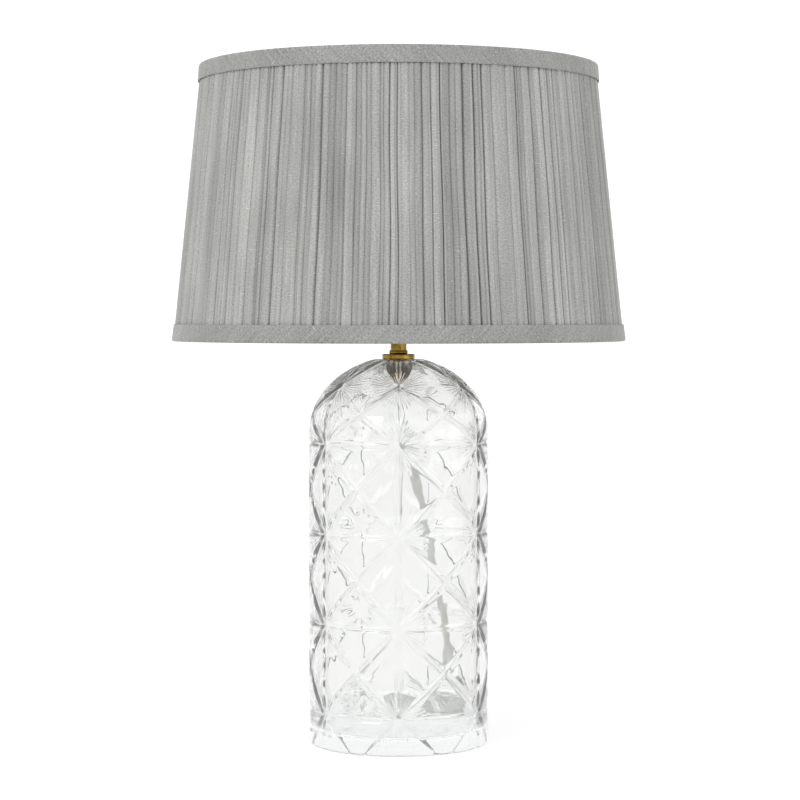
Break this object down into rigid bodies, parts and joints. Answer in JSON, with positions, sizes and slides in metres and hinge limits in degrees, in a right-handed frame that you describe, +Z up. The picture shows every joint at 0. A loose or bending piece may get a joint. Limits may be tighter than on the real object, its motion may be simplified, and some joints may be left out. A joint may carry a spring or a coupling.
{
  "type": "table lamp",
  "caption": "Table lamp with a relief-cut clear glass bottle base, brass neck fitting and stem, and a tapered gathered-cloth drum shade on a screw lampholder.",
  "frame": {"origin": "centre of the glass foot, on the surface the lamp stands on", "axes": "+Z up along the stem, -Y towards the front, cord leaves at the back right (+X +Y)"},
  "size_m": [0.3999, 0.4, 0.5995],
  "materials": {
    "glass": "clear relief-cut glass",
    "clear_plastic": "clear moulded plastic",
    "bung_rubber": "dark brown rubber",
    "brass": "aged antique brass, satin",
    "stem_steel": "plated steel thread",
    "cord_flex": "clear grey flex",
    "ceramic": "white glazed ceramic",
    "contact_brass": "bright brass",
    "core_insulation": "core insulation",
    "nylon": "black moulded plastic",
    "bulb_frosted": "frosted opal envelope",
    "cap_metal": "nickel plated cap",
    "frame_wire": "white coated wire",
    "lining_cloth": "plain off-white lining",
    "shade_cloth": "gathered grey slub silk",
    "binding_cloth": "bias-cut grey slub silk",
    "pin_metal": "nickel plated pins"
  },
  "bodies": {
    "base": {"glass_base": "glass", "cord_grommet": "clear_plastic", "stopper_bung": "bung_rubber", "stopper_washer": "brass", "stopper_nut": "brass", "neck_seal": "bung_rubber", "neck_flange": "brass", "collar_ring": "brass", "spacer_tube": "brass", "threaded_stem": "stem_steel", "cord_in_stem": "cord_flex", "holder_cap": "brass", "holder_shell": "brass", "holder_insulator": "ceramic", "contact_shell": "contact_brass", "centre_contact": "contact_brass", "terminal_screws": "contact_brass", "core_wires": "core_insulation", "cord_grip": "nylon", "cord_inside": "cord_flex", "cord_lead": "cord_flex", "cord_coil": "cord_flex", "cord_tail": "cord_flex", "plug_body": "clear_plastic", "plug_pins": "pin_metal"},
    "switch": {"switch_bar": "nylon"},
    "bulb": {"bulb_glass": "bulb_frosted", "bulb_cap": "cap_metal", "bulb_contact": "contact_brass"},
    "ring_nut": {"shade_ring": "brass"},
    "shade": {"carrier_ring": "frame_wire", "carrier_arms": "frame_wire", "bottom_wire_ring": "frame_wire", "top_wire_ring": "frame_wire", "frame_struts": "frame_wire", "shade_lining": "lining_cloth", "pleated_cover": "shade_cloth", "top_binding": "binding_cloth", "bottom_binding": "binding_cloth"}
  },
  "joints": [
    {"name": "switch_push", "type": "slide", "parent": "base", "child": "switch", "axis": [1, 0, 0], "range_m": [0, 0.006]},
    {"name": "bulb_turn", "type": "hinge", "parent": "base", "child": "bulb", "pos_m": [0, 0, 0.43], "axis": [0, 0, 1], "continuous": true},
    {"name": "ring_nut_turn", "type": "hinge", "parent": "base", "child": "ring_nut", "pos_m": [0, 0, 0.417], "axis": [0, 0, 1], "continuous": true},
    {"name": "shade_turn", "type": "hinge", "parent": "base", "child": "shade", "pos_m": [0, 0, 0.415], "axis": [0, 0, 1], "continuous": true}
  ]
}
